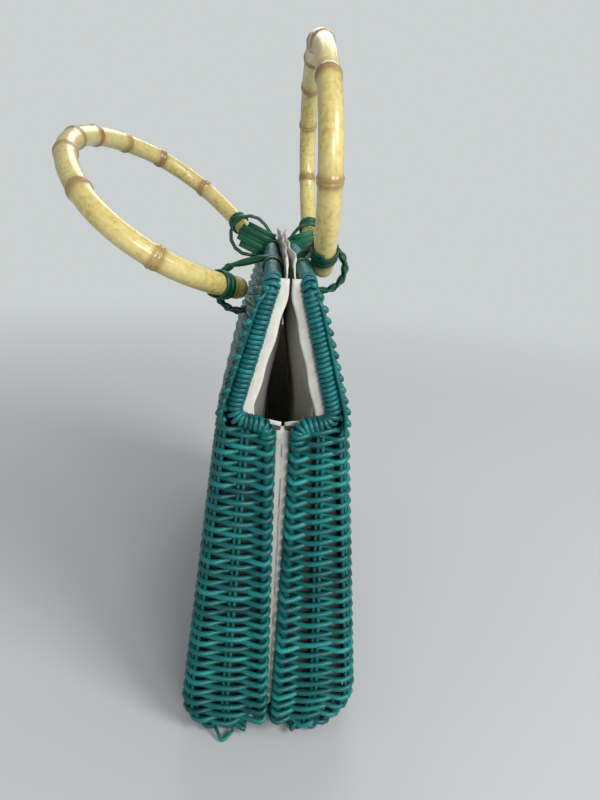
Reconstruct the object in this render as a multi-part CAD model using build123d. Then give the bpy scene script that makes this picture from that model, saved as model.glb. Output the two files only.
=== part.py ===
from build123d import *
import math
import os

# Hinged wicker box bag with two bamboo handles.
# X runs along the bag, Y across its two halves, Z up. The origin is at the middle of the base,
# on the seam between the halves. The front half lies at -Y. All sizes are in millimetres.

# Woven shell, measured on the crests of its courses; depths run from the seam plane to one face
BOTTOM_HALF_LENGTH = 130.5
SHOULDER_HALF_LENGTH = 109.0
RIM_HALF_LENGTH = 105.0
BOTTOM_DEPTH = 44.0
SHOULDER_DEPTH = 29.7
COLLAR_DEPTH = 16.2
SHOULDER_HEIGHT = 159.0
RIM_HEIGHT = 217.6
COLLAR_DROP = 12.6
WALL = 6.0
UPRIGHT_CORNER_RADIUS = 8.0
CORNER_FACETS = 2
END_FOOT_RADIUS = 8.0
FRONT_FOOT_RADIUS = 18.0
BACK_FOOT_RADIUS = 26.0
SEAM_GAP_BOTTOM = 0.4
SEAM_GAP_TOP = 3.5
SHOULDER_DROP = 3.5

# Courses of the weave and the openings beside the stakes
LOWER_COURSES = 31
UPPER_COURSES = 9
COURSE_DEPTH = 1.1
GAP_WIDTH = 4.0
GAP_HEIGHT = 1.6
END_GAP_COLUMNS = 2
END_GAP_EVERY = 3
FACE_GAP_COLUMNS = 10
FACE_GAP_EVERY = 8

# Frame rod of each half, and the wrapped binding that covers its upper runs
ROD_RADIUS = 2.2
ROD_FIT = 0.05
BINDING_RADIUS = 3.8
BINDING_GROOVE = 0.6
BINDING_LEAD = 9.0
WRAP_PITCH = 5.4
BINDING_SETBACK = 3.5
RIM_SETBACK = 1.1
SEAM_SETBACK = 3.2
RIM_BINDING_DEPTH = 7.3
ELBOW_RADIUS = 5.0
FOOT_BEND_RADIUS = 7.0

# Hinge along the base: each half turns about its own bottom rod
HINGE_BEAD_RADIUS = 3.5
HINGE_RELIEF = 8.1
LASHING_PLACES = (-70.0, 0.0, 70.0)
LASHING_WIDTH = 9.0
LASHING_THICKNESS = 1.2
RUNNING_GAP = 0.3
LASHING_SIDE_GAP = 0.6
HINGE_CLEARANCE = 0.8

# Linen lining of each half
LINING_THICKNESS = 1.2
LINING_CLEARANCE = 0.25
LINING_SEAM_GAP = 0.2
LINING_RIM_RISE = 3.4
LINING_SHOULDER_RISE = 2.0
LINING_TURN_RUN = 14.7

# Bamboo handles: one half of the bow as arcs of radius and sweep, from its top to the leg's end
BOW_ARCS = ((104.35, 41.0), (39.6, 78.7), (90.0, 25.6))
BAMBOO_RADIUS = 5.5
BAMBOO_TAPER = 0.9
NODE_RISE = 0.8
NODE_HALF_LENGTH = 2.0
NODE_LAND = 0.5
SECTION_SPACING = 9.0
NODE_PLACES = (0.03, 0.155, 0.29, 0.40, 0.49, 0.57, 0.66, 0.75, 0.85, 0.955)

# Leg ends of each handle: place along the rim, rise over its rod, gap to the shell's outer face
# The near end is at +X. A handle's tilt is its lean from upright towards -Y
FRONT_LEGS = {"near": (49.3, -11.9, 0.6), "far": (-48.9, 6.1, 5.9)}
FRONT_TILT = 56.3
BACK_LEGS = {"near": (49.6, 0.2, 1.8), "far": (-50.2, 3.4, 1.8)}
BACK_TILT = 3.5

# Strap ties: a loop round the rim and each leg end, and a band wound round the leg beside it
STRAP_THICKNESS = 1.1
LOOP_WIDTH = 5.0
LOOP_SLACK = 5.3
BAND_WIDTH = 9.0
BAND_START = 10.0

# What follows from those sizes
RIM_ROD_HEIGHT = RIM_HEIGHT - BINDING_RADIUS
RIM_DEPTH = RIM_BINDING_DEPTH + BINDING_RADIUS - RIM_SETBACK
COLLAR_HEIGHT = RIM_HEIGHT - COLLAR_DROP
SEAM_TOP = SHOULDER_HEIGHT - SHOULDER_DROP - BINDING_RADIUS
SHOULDER_TOP = SHOULDER_HEIGHT - BINDING_RADIUS
INNER_CORNER_RADIUS = UPRIGHT_CORNER_RADIUS - WALL / 2
LASHING_REACH = HINGE_BEAD_RADIUS + RUNNING_GAP + LASHING_THICKNESS
HINGE_HEIGHT = LASHING_REACH
HINGE_DEPTH = SEAM_GAP_BOTTOM + HINGE_BEAD_RADIUS
BEAD_FOOT = HINGE_HEIGHT - HINGE_BEAD_RADIUS
LINING_RIM_HEIGHT = RIM_HEIGHT + LINING_RIM_RISE
LINING_SHOULDER_HEIGHT = SHOULDER_HEIGHT + LINING_SHOULDER_RISE
LINING_FOOT_DEPTH = HINGE_DEPTH + LASHING_REACH + HINGE_CLEARANCE
LINING_FOOT_HEIGHT = HINGE_HEIGHT + LASHING_REACH + HINGE_CLEARANCE
LINING_TURN_END = SEAM_TOP - ELBOW_RADIUS
LINING_TURN_START = LINING_TURN_END - LINING_TURN_RUN

# Shares of a rounded foot's height at which its inner facets meet, the height a step in a lofted
# wall takes, and how far a cutter runs past the face it cuts
FOOT_SHARES = (0.0, 0.15, 0.4, 0.7, 1.0)
STEP_HEIGHT = 0.05
OVERRUN = 1.0


def lerp(start, end, share):
    return start + (end - start) * share


def half_length(z):
    """Half length of the woven shell at a height, without the rounding of its foot."""
    if z <= SHOULDER_HEIGHT:
        return lerp(BOTTOM_HALF_LENGTH, SHOULDER_HALF_LENGTH, z / SHOULDER_HEIGHT)
    share = (z - SHOULDER_HEIGHT) / (RIM_HEIGHT - SHOULDER_HEIGHT)
    return lerp(SHOULDER_HALF_LENGTH, RIM_HALF_LENGTH, share)


def depth(z):
    """Distance of the outer face from the seam plane, without the rounding of its foot."""
    if z <= SHOULDER_HEIGHT:
        return lerp(BOTTOM_DEPTH, SHOULDER_DEPTH, z / SHOULDER_HEIGHT)
    if z <= COLLAR_HEIGHT:
        share = (z - SHOULDER_HEIGHT) / (COLLAR_HEIGHT - SHOULDER_HEIGHT)
        return lerp(SHOULDER_DEPTH, COLLAR_DEPTH, share)
    share = (z - COLLAR_HEIGHT) / (RIM_ROD_HEIGHT - COLLAR_HEIGHT)
    return lerp(COLLAR_DEPTH, RIM_DEPTH, share)


def round_inset(z, radius, floor=0.0):
    """How far a rounded foot draws in at a height, for an edge that starts at the given floor."""
    rise = z - floor
    if rise >= radius:
        return 0.0
    return radius - math.sqrt(radius**2 - (radius - rise) ** 2)


def faceted_inset(z, radius, floor):
    """The same rounding inside the shell, as straight facets between set heights."""
    if z >= floor + radius:
        return 0.0
    for low, high in zip(FOOT_SHARES, FOOT_SHARES[1:]):
        bottom, top = floor + low * radius, floor + high * radius
        if z <= top:
            share = (z - bottom) / (top - bottom)
            return lerp(round_inset(bottom, radius, floor), round_inset(top, radius, floor), share)
    return 0.0


def seam_gap(z):
    return lerp(SEAM_GAP_BOTTOM, SEAM_GAP_TOP, min(z, SHOULDER_HEIGHT) / SHOULDER_HEIGHT)


def seam_side(z):
    """Where the end walls and the base stop short of the seam plane."""
    if z < BEAD_FOOT:
        return lerp(HINGE_DEPTH + HINGE_RELIEF, HINGE_DEPTH, z / BEAD_FOOT)
    if z <= HINGE_HEIGHT:
        return HINGE_DEPTH
    return seam_gap(z)


def corner(x, y, radius, facets):
    """Points of a rounded corner at +X, +Y, from the end wall round to the face."""
    turns = [math.radians(90 * k / facets) for k in range(facets + 1)]
    return [(x - radius + radius * math.cos(t), y - radius + radius * math.sin(t)) for t in turns]


def tray_section(z, half_x, far_y, near_y, radius, facets):
    """A closed outline at height z, from the seam side round both corners and back."""
    right = [(half_x, near_y)] + corner(half_x, far_y, radius, facets)
    points = right + [(-x, y) for x, y in reversed(right)]
    return Wire.make_polygon([Vector(x, y, z) for x, y in points])


def course_levels(low, high, courses):
    """Heights of the grooves and crests of a run of courses, each with its inset."""
    pitch = (high - low) / courses
    for k in range(courses):
        yield low + k * pitch, COURSE_DEPTH
        yield low + (k + 0.5) * pitch, 0.0
    yield high, COURSE_DEPTH


def tray_block(foot_radius):
    levels = list(course_levels(0.0, SHOULDER_HEIGHT, LOWER_COURSES))
    levels += [(BEAD_FOOT, COURSE_DEPTH / 2)]
    levels += [(HINGE_HEIGHT, COURSE_DEPTH), (HINGE_HEIGHT + STEP_HEIGHT, COURSE_DEPTH)]
    sections = []
    for z, inset in sorted(levels):
        half_x = half_length(z) - inset - round_inset(z, END_FOOT_RADIUS)
        far_y = depth(z) - inset - round_inset(z, foot_radius)
        sections.append(tray_section(z, half_x, far_y, seam_side(z), UPRIGHT_CORNER_RADIUS, CORNER_FACETS))
    return Solid.make_loft(sections, ruled=True)


def tray_cavity(foot_radius):
    inner = foot_radius - WALL
    heights = [WALL + inner * share for share in FOOT_SHARES] + [SHOULDER_HEIGHT + OVERRUN]
    sections = []
    for z in heights:
        half_x = half_length(z) - WALL
        far_y = depth(min(z, SHOULDER_HEIGHT)) - WALL - faceted_inset(z, inner, WALL)
        sections.append(tray_section(z, half_x, far_y, -WALL, INNER_CORNER_RADIUS, 1))
    return Solid.make_loft(sections, ruled=True)


def panel_section(z, inset):
    half_x, far_y = half_length(z) - inset, depth(z) - inset
    near_y = depth(z) - WALL
    points = ((half_x, near_y), (half_x, far_y), (-half_x, far_y), (-half_x, near_y))
    return Wire.make_polygon([Vector(x, y, z) for x, y in points])


def upper_panel():
    levels = list(course_levels(SHOULDER_HEIGHT, COLLAR_HEIGHT, UPPER_COURSES))
    levels.append(((COLLAR_HEIGHT + RIM_ROD_HEIGHT) / 2, 0.0))
    levels.append((RIM_ROD_HEIGHT, COURSE_DEPTH))
    return Solid.make_loft([panel_section(z, inset) for z, inset in levels], ruled=True)


# Corner points of the frame rod's path, from the middle of the base up to the middle of the rim
FRAME_POINTS = (
    (0.0, HINGE_DEPTH, HINGE_HEIGHT),
    (half_length(HINGE_HEIGHT) - BINDING_RADIUS, HINGE_DEPTH, HINGE_HEIGHT),
    (half_length(SEAM_TOP) - BINDING_RADIUS, seam_gap(SEAM_TOP) + SEAM_SETBACK, SEAM_TOP),
    (
        half_length(SHOULDER_TOP) - BINDING_RADIUS,
        SHOULDER_DEPTH - BINDING_SETBACK - BINDING_RADIUS,
        SHOULDER_TOP,
    ),
    (RIM_HALF_LENGTH - BINDING_RADIUS, RIM_BINDING_DEPTH, RIM_ROD_HEIGHT),
    (0.0, RIM_BINDING_DEPTH, RIM_ROD_HEIGHT),
)


def tube(path, radius):
    return sweep(Plane(origin=path @ 0, z_dir=path % 0) * Circle(radius), path=path).solid()


def both_ends(shape):
    return shape.fuse(shape.mirror(Plane.YZ)).clean()


def frame_path():
    radii = [FOOT_BEND_RADIUS, ELBOW_RADIUS, ELBOW_RADIUS, ELBOW_RADIUS]
    return FilletPolyline(*FRAME_POINTS, radius=radii)


def binding_path():
    low, high = Vector(*FRAME_POINTS[1]), Vector(*FRAME_POINTS[2])
    start = high + (low - high).normalized() * BINDING_LEAD
    return FilletPolyline(start, *FRAME_POINTS[2:], radius=ELBOW_RADIUS)


def wrapped_run(line):
    """A straight stretch of binding whose wraps stand out as ribs."""
    wraps = max(1, round(line.length / WRAP_PITCH))
    outline = [(0.0, 0.0)]
    for k in range(2 * wraps + 1):
        radius = BINDING_RADIUS - (BINDING_GROOVE if k % 2 == 0 else 0.0)
        outline.append((radius, line.length * k / (2 * wraps)))
    outline.append((0.0, line.length))
    ribs = revolve(Plane.XZ * make_face(Polyline(*outline, close=True)), Axis.Z)
    return (Plane(origin=line @ 0, z_dir=line % 0) * ribs).solid()


def binding_solid(rod_channel):
    pieces = []
    for edge in binding_path().edges():
        if edge.geom_type == GeomType.LINE:
            pieces.append(wrapped_run(edge))
        else:
            pieces.append(tube(edge, BINDING_RADIUS - BINDING_GROOVE))
    return both_ends(pieces[0].fuse(*pieces[1:])).cut(rod_channel)


def weave_gaps(foot_radius):
    """Small openings between courses, beside the stakes, through the end walls and the face."""
    pitch = SHOULDER_HEIGHT / LOWER_COURSES
    gaps = []
    first = math.ceil((foot_radius + GAP_HEIGHT) / pitch)
    for course in range(first, LOWER_COURSES - 2, END_GAP_EVERY):
        z = course * pitch
        span = depth(z) - seam_side(z)
        for column in range(END_GAP_COLUMNS):
            y = seam_side(z) + span * (column + 1) / (END_GAP_COLUMNS + 1)
            for side in (-1, 1):
                x = side * (half_length(z) - WALL / 2)
                gaps.append(Pos(x, y, z) * Box(2 * WALL, GAP_WIDTH, GAP_HEIGHT))
    for course in range(first + 1, LOWER_COURSES, FACE_GAP_EVERY):
        z = course * pitch
        step = 2 * (half_length(z) - UPRIGHT_CORNER_RADIUS) / (FACE_GAP_COLUMNS + 1)
        for column in range(FACE_GAP_COLUMNS):
            x = (column - (FACE_GAP_COLUMNS - 1) / 2) * step
            gaps.append(Pos(x, depth(z) - WALL / 2, z) * Box(GAP_WIDTH, 2 * WALL, GAP_HEIGHT))
    return gaps


def shoulder_trim():
    """What the sloping shoulder takes off the top of each end wall."""
    outer, above = SHOULDER_DEPTH - WALL, SHOULDER_HEIGHT + OVERRUN
    profile = Polyline(
        (-OVERRUN, SEAM_TOP), (seam_gap(SEAM_TOP) + SEAM_SETBACK, SEAM_TOP), (outer, SHOULDER_TOP),
        (outer, above), (-OVERRUN, above), close=True,
    )
    start = half_length(SHOULDER_HEIGHT) - 2 * WALL
    return extrude(Plane.YZ.offset(start) * make_face(profile), 3 * WALL).solid()


def weave_solid(foot_radius, loops):
    shell = tray_block(foot_radius).cut(tray_cavity(foot_radius))
    trim = shoulder_trim()
    shell = shell.cut(trim, trim.mirror(Plane.YZ)).fuse(upper_panel())
    hinge_run = FRAME_POINTS[1][0] - FOOT_BEND_RADIUS
    bead = Plane(origin=(-hinge_run, HINGE_DEPTH, HINGE_HEIGHT), z_dir=(1, 0, 0)) * Cylinder(
        HINGE_BEAD_RADIUS, 2 * hinge_run, align=(Align.CENTER, Align.CENTER, Align.MIN)
    )
    shell = shell.fuse(bead.solid())
    notch = 2 * (LASHING_REACH + HINGE_CLEARANCE)
    notch_width = LASHING_WIDTH + 2 * LASHING_SIDE_GAP
    cuts = weave_gaps(foot_radius)
    for x in LASHING_PLACES:
        cuts.append(Pos(x, HINGE_DEPTH, HINGE_HEIGHT) * Box(notch_width, notch, notch))
    cuts.append(both_ends(tube(binding_path(), BINDING_RADIUS)))
    cuts.append(rod_channel_solid())
    return shell.cut(*[cut.solid() for cut in cuts], *loops)


def rod_channel_solid():
    return both_ends(tube(frame_path(), ROD_RADIUS + ROD_FIT))


def rod_solid():
    return both_ends(tube(frame_path(), ROD_RADIUS))


def lining_turn(z):
    """How far the lining has turned from the weave to the inside of the binding."""
    return min(max((z - LINING_TURN_START) / LINING_TURN_RUN, 0.0), 1.0)


def lining_depth(z):
    """Outer face of the lining, which leaves the weave above its turn to run inside the binding."""
    wall_face = depth(min(z, SHOULDER_HEIGHT)) - WALL - LINING_CLEARANCE
    shoulder_face = FRAME_POINTS[3][1] - BINDING_RADIUS - LINING_CLEARANCE
    rim_face = RIM_BINDING_DEPTH - BINDING_RADIUS - STRAP_THICKNESS - LINING_CLEARANCE
    climb = min(max((z - SHOULDER_TOP) / (RIM_ROD_HEIGHT - SHOULDER_TOP), 0.0), 1.0)
    return lerp(wall_face, lerp(shoulder_face, rim_face, climb), lining_turn(z))


def lining_half_length(z):
    wall_face = half_length(z) - WALL - LINING_CLEARANCE
    binding_face = half_length(z) - 2 * BINDING_RADIUS - LINING_CLEARANCE
    return lerp(wall_face, binding_face, lining_turn(z))


def lining_section(z, inset, foot_radius, half_x=None):
    far_y = lining_depth(z) - inset
    far_y -= faceted_inset(z, foot_radius - WALL - LINING_CLEARANCE, WALL + LINING_CLEARANCE)
    if half_x is None:
        half_x = lining_half_length(z) - inset
    near_y = LINING_SEAM_GAP if z > LINING_FOOT_HEIGHT else LINING_FOOT_DEPTH
    if inset:
        near_y = -WALL
    return tray_section(z, half_x, far_y, near_y, INNER_CORNER_RADIUS, 1)


def lining_loft(heights, *shape):
    return Solid.make_loft([lining_section(z, *shape) for z in sorted(heights)], ruled=True)


def lining_solid(foot_radius):
    floor = WALL + LINING_CLEARANCE
    inner_floor = floor + LINING_THICKNESS
    foot = [floor + share * (foot_radius - floor) for share in FOOT_SHARES]
    step = [LINING_FOOT_HEIGHT, LINING_FOOT_HEIGHT + STEP_HEIGHT]
    upper = [LINING_TURN_START, LINING_TURN_END, SHOULDER_TOP, RIM_ROD_HEIGHT]
    block = lining_loft(foot + step + upper + [LINING_RIM_HEIGHT], 0.0, foot_radius)
    inside = [inner_floor] + [z for z in foot if z > inner_floor] + upper + [LINING_RIM_HEIGHT + OVERRUN]
    cavity = lining_loft(inside, LINING_THICKNESS, foot_radius)
    above = [LINING_SHOULDER_HEIGHT, RIM_ROD_HEIGHT, LINING_RIM_HEIGHT + OVERRUN]
    open_ends = lining_loft(above, LINING_THICKNESS, foot_radius, BOTTOM_HALF_LENGTH)
    return block.cut(cavity, open_ends)


def lashing_solid(x):
    """A flat band round both bottom rods, which lets the back one turn inside it."""
    plane = Plane(origin=(x - LASHING_WIDTH / 2, 0, HINGE_HEIGHT), x_dir=(0, 1, 0), z_dir=(1, 0, 0))
    outer = SlotCenterToCenter(2 * HINGE_DEPTH, 2 * LASHING_REACH)
    inner = SlotCenterToCenter(2 * HINGE_DEPTH, 2 * (LASHING_REACH - LASHING_THICKNESS))
    return extrude(plane * (outer - inner), LASHING_WIDTH).solid()


def leg_ends(legs, side):
    """Places of a handle's leg ends, which stand just outside the shell of their half."""
    ends = {}
    for name, (x, rise, gap) in legs.items():
        z = RIM_ROD_HEIGHT + rise
        y = depth(min(z, RIM_ROD_HEIGHT)) + gap + BAMBOO_RADIUS
        ends[name] = (x, side * y, z)
    return ends


class Bow:
    """Centre line of a bamboo handle, placed by its two leg ends and its tilt."""

    def __init__(self, ends, tilt):
        near, far = Vector(*ends["near"]), Vector(*ends["far"])
        self.across = (near - far).normalized()
        lean = Vector(0, -math.sin(math.radians(tilt)), math.cos(math.radians(tilt)))
        self.rise = (lean - self.across * lean.dot(self.across)).normalized()
        self.middle = (near + far) / 2
        self.half = sum(radius * math.radians(sweep) for radius, sweep in BOW_ARCS)
        self.drop = self.flat(self.half)[1]
        self.spread = (near - far).length / 2 - self.flat(self.half)[0]

    def flat(self, run):
        """Place in the bow's own plane, a distance along it from its top: across, and up."""
        x = y = heading = 0.0
        for radius, sweep in BOW_ARCS:
            turn = min(run / radius, math.radians(sweep))
            x += radius * (math.sin(heading + turn) - math.sin(heading))
            y -= radius * (math.cos(heading) - math.cos(heading + turn))
            heading += turn
            run -= radius * turn
        return x, y, heading

    def at(self, share):
        """Point and direction at a share of the bow, from its near leg end to its far one."""
        run = (1 - 2 * share) * self.half
        x, y, heading = self.flat(abs(run))
        side = 1 if run >= 0 else -1
        lean_in = self.spread * abs(run) / self.half
        point = self.middle + self.across * side * (x + lean_in) + self.rise * (y - self.drop)
        way = self.across * -math.cos(heading) + self.rise * math.sin(heading) * side
        return point, way

    def radius(self, share):
        return BAMBOO_RADIUS * lerp(1.0, BAMBOO_TAPER, share)


def bamboo_rings(bow):
    """Shares and radii of the cane's sections: raised nodes with plain cane between them."""
    length = 2 * bow.half
    rings = [(0.0, 0.0), (1.0, 0.0)]
    for place in NODE_PLACES:
        for side in (-1, 1):
            rings.append((place + side * NODE_HALF_LENGTH / length, 0.0))
            rings.append((place + side * NODE_LAND / length, NODE_RISE))
    rings.sort()
    filled = [rings[0]]
    for (start, _), (end, rise) in zip(rings, rings[1:]):
        steps = math.ceil((end - start) * length / SECTION_SPACING)
        filled += [(lerp(start, end, k / steps), 0.0) for k in range(1, steps)]
        filled.append((end, rise))
    return [(share, bow.radius(share) + rise) for share, rise in filled]


def bamboo_solid(bow):
    flat_side = bow.across.cross(bow.rise)
    sections = []
    for share, radius in bamboo_rings(bow):
        point, way = bow.at(share)
        ring = Plane(origin=point, x_dir=flat_side, z_dir=way) * Circle(radius)
        sections.append(ring.face().outer_wire())
    return Solid.make_loft(sections, ruled=True)


def hull(centre_a, radius_a, centre_b, radius_b):
    """The outline of a band drawn tight round two circles."""
    a, b = Vector(*centre_a), Vector(*centre_b)
    gap = (b - a).length
    along_way = math.atan2(b.Y - a.Y, b.X - a.X)
    spread = math.acos((radius_a - radius_b) / gap)
    ends = []
    for turn in (spread, -spread):
        way = Vector(math.cos(along_way + turn), math.sin(along_way + turn))
        ends.append((a + way * radius_a, b + way * radius_b))
    (a1, b1), (a2, b2) = ends
    straight = make_face(Polyline(a1, b1, b2, a2, close=True))
    return straight + Pos(a) * Circle(radius_a) + Pos(b) * Circle(radius_b)


def tie_loop(leg_end, side):
    """A strap loop round the rim binding and the end of one handle leg."""
    x, leg_y, leg_z = leg_end
    rim = (side * RIM_BINDING_DEPTH, RIM_ROD_HEIGHT)
    leg = (leg_y, leg_z)
    plane = Plane(origin=(x - LOOP_WIDTH / 2, 0, 0), x_dir=(0, 1, 0), z_dir=(1, 0, 0))
    leg_radius = BAMBOO_RADIUS + LOOP_SLACK
    outer = hull(rim, BINDING_RADIUS + STRAP_THICKNESS, leg, leg_radius + STRAP_THICKNESS)
    inner = hull(rim, BINDING_RADIUS, leg, leg_radius)
    return extrude(plane * (outer - inner), LOOP_WIDTH).solid()


def tie_band(bow, share_end, bamboo):
    """A strap wound round one handle leg, just above the loop."""
    point, way = bow.at(share_end)
    upward = way if share_end < 0.5 else way * -1
    radius = bow.radius(share_end) + STRAP_THICKNESS
    band = Plane(origin=point + upward * BAND_START, z_dir=upward) * Cylinder(
        radius, BAND_WIDTH, align=(Align.CENTER, Align.CENTER, Align.MIN)
    )
    return band.solid().cut(bamboo)


def faced(shape, side):
    """A part of the back half, or its mirror image for the front half."""
    return shape if side > 0 else shape.mirror(Plane.XZ)


def write(name, shape):
    export_step(shape, os.path.join("parts", name + ".step"))


def main():
    os.makedirs("parts", exist_ok=True)
    rod = rod_solid()
    binding = binding_solid(rod_channel_solid())
    halves = {
        "front": (-1, FRONT_FOOT_RADIUS, FRONT_LEGS, FRONT_TILT),
        "back": (1, BACK_FOOT_RADIUS, BACK_LEGS, BACK_TILT),
    }
    for half, (side, foot_radius, legs, tilt) in halves.items():
        ends = leg_ends(legs, side)
        loops = {name: tie_loop(end, side) for name, end in ends.items()}
        weave = weave_solid(foot_radius, [faced(loop, side) for loop in loops.values()])
        write(f"{half}_weave", faced(weave, side))
        write(f"{half}_frame_rod", faced(rod, side))
        write(f"{half}_binding", faced(binding, side))
        write(f"{half}_lining", faced(lining_solid(foot_radius), side))
        bow = Bow(ends, tilt)
        bamboo = bamboo_solid(bow)
        write(f"{half}_handle", bamboo)
        for name, share in (("near", 0.0), ("far", 1.0)):
            write(f"{half}_{name}_tie_loop", loops[name])
            write(f"{half}_{name}_tie_band", tie_band(bow, share, bamboo))
    for name, x in zip(("left", "middle", "right"), LASHING_PLACES):
        write(f"{name}_hinge_lashing", lashing_solid(x))


main()
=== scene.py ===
import math
import random

import bpy
import numpy as np
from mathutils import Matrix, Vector


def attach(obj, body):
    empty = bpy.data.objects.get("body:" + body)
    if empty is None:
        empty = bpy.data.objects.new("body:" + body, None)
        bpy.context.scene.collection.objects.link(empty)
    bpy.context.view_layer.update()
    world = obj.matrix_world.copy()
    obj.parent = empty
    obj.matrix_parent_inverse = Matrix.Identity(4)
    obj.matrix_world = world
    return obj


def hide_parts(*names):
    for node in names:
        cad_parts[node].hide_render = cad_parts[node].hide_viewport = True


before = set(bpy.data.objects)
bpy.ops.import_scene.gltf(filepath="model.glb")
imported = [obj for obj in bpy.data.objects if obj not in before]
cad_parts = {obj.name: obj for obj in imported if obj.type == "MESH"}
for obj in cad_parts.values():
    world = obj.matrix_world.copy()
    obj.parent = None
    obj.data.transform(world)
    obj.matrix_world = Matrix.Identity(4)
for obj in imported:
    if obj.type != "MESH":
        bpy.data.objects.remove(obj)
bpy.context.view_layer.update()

# A wicker box bag in two lined halves. X runs along the bag, Y across its halves and Z up.
# Sizes are in millimetres here and become metres when a mesh is made.
MM = 0.001
random.seed(7)

# Shell, measured on its outer face from the seam plane
BOTTOM_HALF_LENGTH, SHOULDER_HALF_LENGTH, RIM_HALF_LENGTH = 130.5, 109.0, 105.0
BOTTOM_DEPTH, SHOULDER_DEPTH, COLLAR_DEPTH, RIM_DEPTH = 44.0, 29.7, 16.2, 10.0
SHOULDER_HEIGHT, COLLAR_HEIGHT, RIM_HEIGHT = 159.0, 205.0, 217.6
WALL = 6.0
CORNER_RADIUS = 8.0
END_FOOT_RADIUS = 8.0
FOOT_RADIUS = {"front": 18.0, "back": 26.0}
SEAM_GAP_BOTTOM, SEAM_GAP_TOP = 0.4, 3.5
SIDE = {"front": -1.0, "back": 1.0}

# Frame rod and its wrapped binding
BINDING_RADIUS = 3.8
BINDING_SETBACK = 3.5
SEAM_SETBACK = 3.2
SHOULDER_DROP = 3.5
RIM_BINDING_DEPTH = 7.3
RIM_ROD_HEIGHT = RIM_HEIGHT - BINDING_RADIUS
SEAM_TOP = SHOULDER_HEIGHT - SHOULDER_DROP - BINDING_RADIUS
SHOULDER_TOP = SHOULDER_HEIGHT - BINDING_RADIUS
ELBOW_RADIUS = 5.0

# Hinge along the base
HINGE_DEPTH, HINGE_HEIGHT = 3.9, 5.0
BEAD_RADIUS = 3.5
BEAD_FOOT = HINGE_HEIGHT - BEAD_RADIUS
HINGE_RELIEF = 8.1
LASHINGS = {"left": -70.0, "middle": 0.0, "right": 70.0}
LASHING_WIDTH = 9.0
LASHING_REACH = 5.0

# Weave: round reeds that pass over and under pairs of stakes
REED_RADIUS = 1.27
ROW_PITCH = 2.52
SWAY = 1.4
EDGE_SWAY = 2.55
ROW_SLANT = {"front": 0.35, "back": 0.75}
FACE_STATIONS, END_STATIONS = 14, 2
STATIONS = FACE_STATIONS + 2 * END_STATIONS
STATION_STEPS = 6
WAVE_POWER = 0.55
WANDER, WANDER_STEP = 0.22, 9
LOOP_STEPS = 5
STAKE_RADIUS = 0.95
STAKE_SPREAD = 1.15
PANEL_START, PANEL_END = SEAM_TOP + 2.6, RIM_ROD_HEIGHT - 1.5
PANEL_STAKE_PITCH = 5.0
LOOSE_RADIUS = 0.85
HINGE_EDGE = HINGE_DEPTH + LASHING_REACH

# Bamboo bow: arcs of radius and sweep from its top to a leg's end
BOW_ARCS = ((104.35, 41.0), (39.6, 78.7), (90.0, 25.6))
BAMBOO_RADIUS = 5.5
BAMBOO_TAPER = 0.9
NODE_PLACES = (0.03, 0.155, 0.29, 0.40, 0.49, 0.57, 0.66, 0.75, 0.85, 0.955)
NODE_OFFSETS = (-2.4, -1.5, -0.9, -0.4, 0, 0.4, 0.9, 1.5, 2.4)
# Rings at a leg's hollow end: depth inside, share of the radius, and how dark, as painted shade that
# deepens into the hollow
MOUTH = ((3.0, 0.55, 0.9), (0.2, 0.65, 0.8), (0.0, 0.9, 0.5))
CANE_SIDES, CANE_STATIONS = 28, 300
LEGS = {
    "front": {"near": (49.3, -11.9, 0.6), "far": (-48.9, 6.1, 5.9)},
    "back": {"near": (49.6, 0.2, 1.8), "far": (-50.2, 3.4, 1.8)},
}
TILT = {"front": 56.3, "back": 3.5}
STRAP = 1.1
LOOP_REACH = {"near": 10.9, "far": 11.6}
COVER_REACH = 7.4
COVER_BANDS = 5
BAND_RUN = (11.2, 17.8)
STRAP_SHAPE = {"sides": 8, "square": 0.45}
# Strips of a loop: place along X, lift, half width, tone and twist
LOOP_STRIPS = (
    (-1.3, 0.0, 1.6, 0.45, 0.9),
    (1.3, 0.5, 1.6, 0.6, -0.8),
    (0.1, 1.0, 1.5, 0.3, 1.1),
)

# Lining
LINING_GAP = 6.4
LINING_TURN_RUN = 14.7
LINING_TURN_END = SEAM_TOP - ELBOW_RADIUS
LINING_TURN_START = LINING_TURN_END - LINING_TURN_RUN
LINING_RIM_HEIGHT = RIM_HEIGHT + 3.0
LINING_CORNER = 4.0
LINING_SPLIT = SHOULDER_HEIGHT + 1.0
HINGE_ROOM = 0.8
LINING_FOOT_Y = HINGE_EDGE + HINGE_ROOM
LINING_FOOT_Z = HINGE_HEIGHT + LASHING_REACH + HINGE_ROOM
CLOTH_STEP = 17.0
CLOTH_THICKNESS = 0.7
HEM_HALF_WIDTH = 2.9
HEM_DROP = 1.8


def lerp(start, end, share):
    return start + (end - start) * share


def clamp(value, low=0.0, high=1.0):
    return min(max(value, low), high)


def smooth(low, high, value):
    share = clamp((value - low) / (high - low))
    return share * share * (3 - 2 * share)


def half_length(z):
    if z <= SHOULDER_HEIGHT:
        return lerp(BOTTOM_HALF_LENGTH, SHOULDER_HALF_LENGTH, z / SHOULDER_HEIGHT)
    share = (z - SHOULDER_HEIGHT) / (RIM_HEIGHT - SHOULDER_HEIGHT)
    return lerp(SHOULDER_HALF_LENGTH, RIM_HALF_LENGTH, share)


def depth(z):
    if z <= SHOULDER_HEIGHT:
        return lerp(BOTTOM_DEPTH, SHOULDER_DEPTH, z / SHOULDER_HEIGHT)
    if z <= COLLAR_HEIGHT:
        share = (z - SHOULDER_HEIGHT) / (COLLAR_HEIGHT - SHOULDER_HEIGHT)
        return lerp(SHOULDER_DEPTH, COLLAR_DEPTH, share)
    share = (z - COLLAR_HEIGHT) / (RIM_ROD_HEIGHT - COLLAR_HEIGHT)
    return lerp(COLLAR_DEPTH, RIM_DEPTH, min(share, 1.0))


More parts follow.
